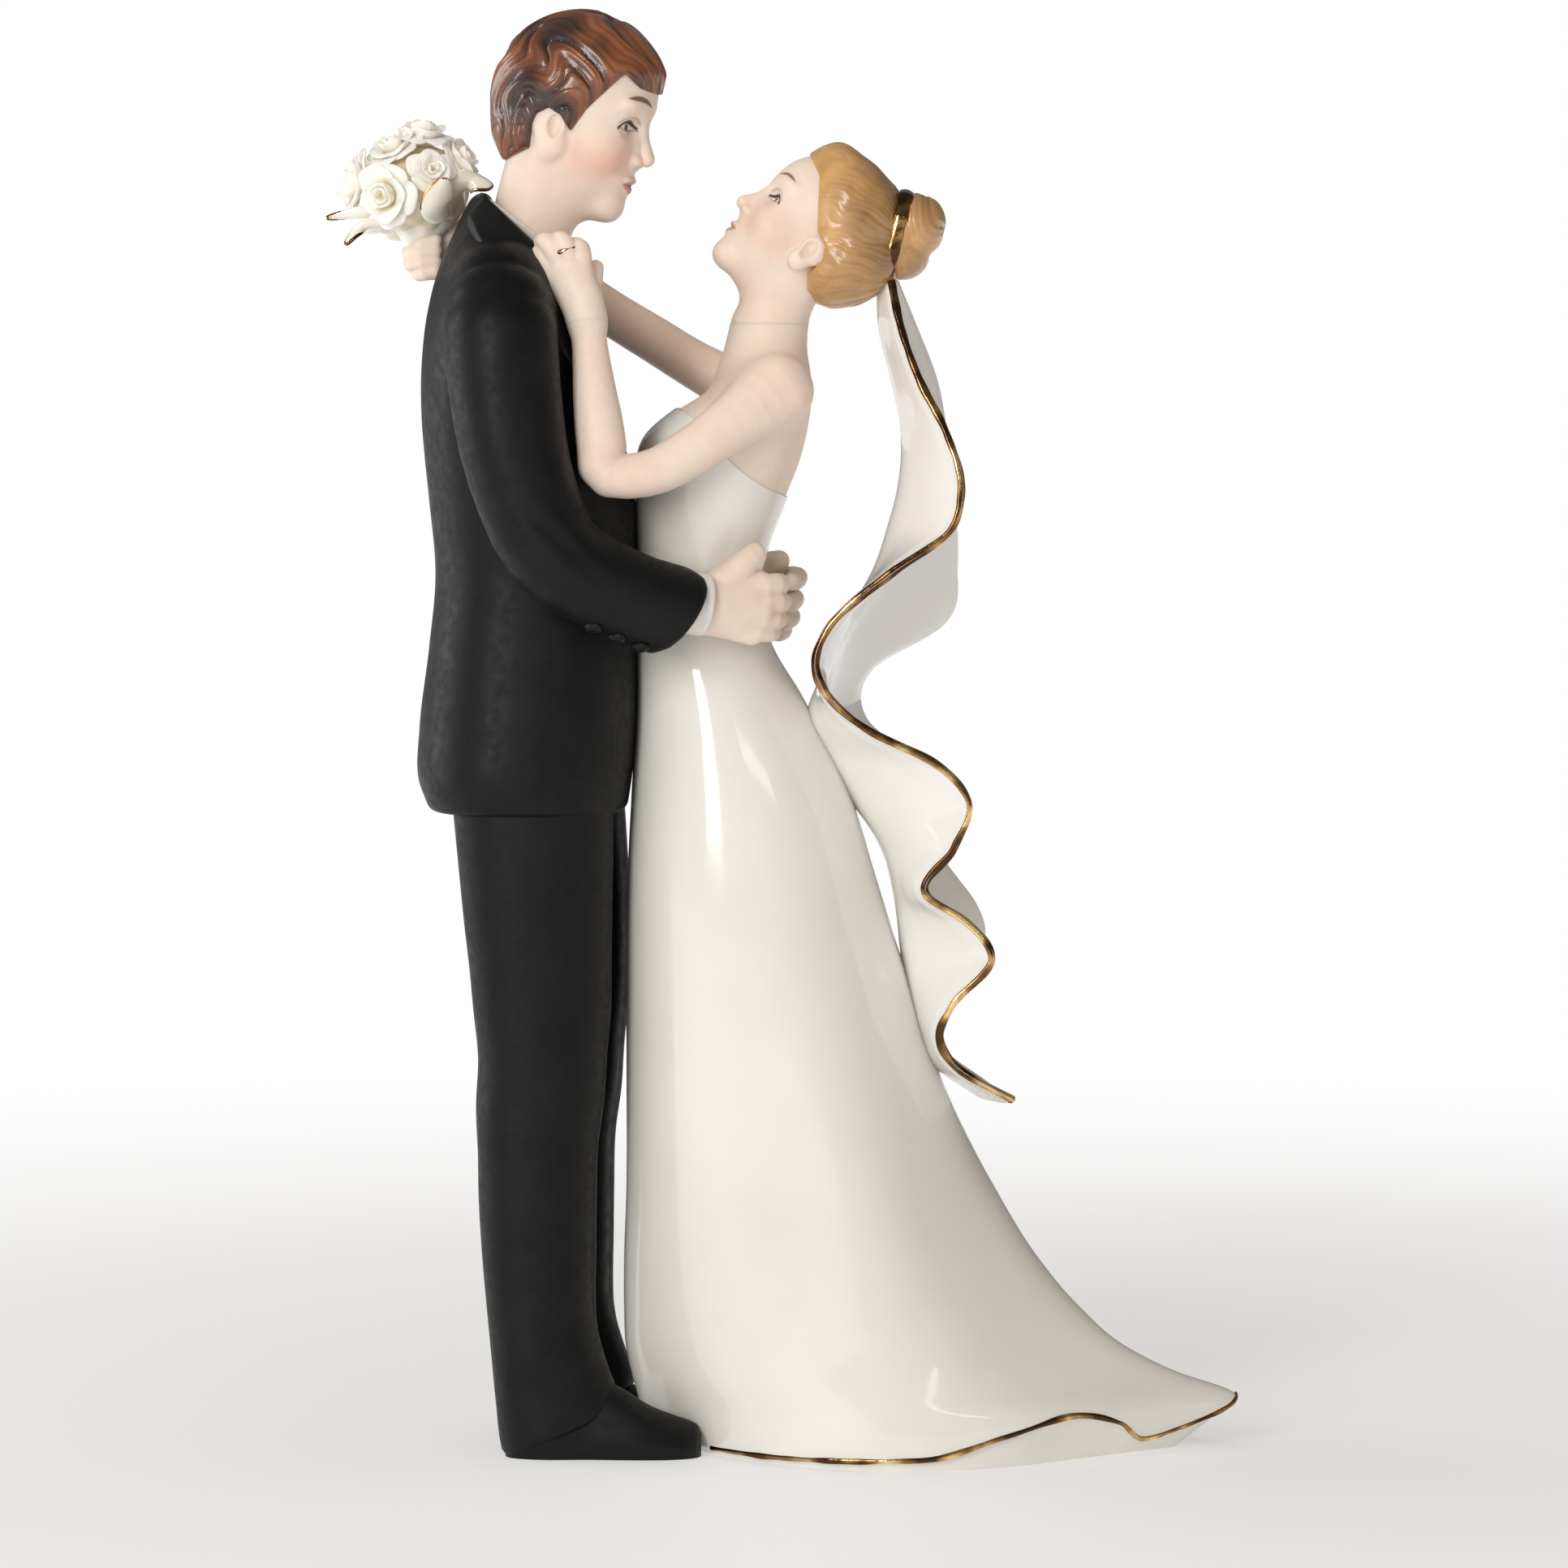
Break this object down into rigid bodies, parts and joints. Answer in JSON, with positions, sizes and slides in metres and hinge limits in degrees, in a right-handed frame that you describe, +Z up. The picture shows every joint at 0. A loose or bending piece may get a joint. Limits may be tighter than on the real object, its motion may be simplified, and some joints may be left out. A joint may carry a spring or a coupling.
{
  "type": "wedding cake topper",
  "caption": "Porcelain bride and groom embracing, with a flowing gold-edged veil, a sweeping skirt with a train and a rose bouquet, standing on a flat base to crown a cake.",
  "frame": {"origin": "centre of the outer box on the standing plane, under the embracing couple", "axes": "+X from the groom's back towards the tip of the bride's train, +Y away from the displayed side, +Z up"},
  "size_m": [0.1269, 0.055, 0.2001],
  "materials": {
    "bisque_skin": "matte",
    "suit_black": "satin",
    "ivory_glaze": "gloss",
    "brown_hair": "gloss",
    "golden_hair": "gloss",
    "bright_gold": "polished"
  },
  "bodies": {
    "root": {"bouquet_cone": "ivory_glaze", "bouquet_core": "ivory_glaze", "bride_bodice": "ivory_glaze", "bride_bun": "golden_hair", "bride_hair": "golden_hair", "bride_head": "bisque_skin", "bride_left_arm": "bisque_skin", "bride_left_hand": "bisque_skin", "bride_right_arm": "bisque_skin", "bride_right_hand": "bisque_skin", "bride_shoulders": "bisque_skin", "bride_skirt": "ivory_glaze", "bride_veil": "ivory_glaze", "groom_bow_tie": "suit_black", "groom_hair": "brown_hair", "groom_head": "bisque_skin", "groom_jacket": "suit_black", "groom_left_button_1": "suit_black", "groom_left_button_2": "suit_black", "groom_left_button_3": "suit_black", "groom_left_cuff": "ivory_glaze", "groom_left_hand": "bisque_skin", "groom_left_lapel": "suit_black", "groom_left_leg": "suit_black", "groom_left_shoe": "suit_black", "groom_left_sleeve": "suit_black", "groom_right_button_1": "suit_black", "groom_right_button_2": "suit_black", "groom_right_button_3": "suit_black", "groom_right_cuff": "ivory_glaze", "groom_right_hand": "bisque_skin", "groom_right_lapel": "suit_black", "groom_right_leg": "suit_black", "groom_right_shoe": "suit_black", "groom_right_sleeve": "suit_black", "groom_shirt_collar": "ivory_glaze", "groom_shirt_front": "ivory_glaze", "hair_ribbon": "bright_gold", "leaf_1": "ivory_glaze", "leaf_2": "ivory_glaze", "leaf_3": "ivory_glaze", "leaf_4": "ivory_glaze", "leaf_5": "ivory_glaze", "leaf_6": "ivory_glaze", "rose_1": "ivory_glaze", "rose_2": "ivory_glaze", "rose_3": "ivory_glaze", "rose_4": "ivory_glaze", "rose_5": "ivory_glaze", "rose_6": "ivory_glaze", "rose_7": "ivory_glaze", "rose_8": "ivory_glaze", "rose_9": "ivory_glaze"}
  },
  "joints": []
}
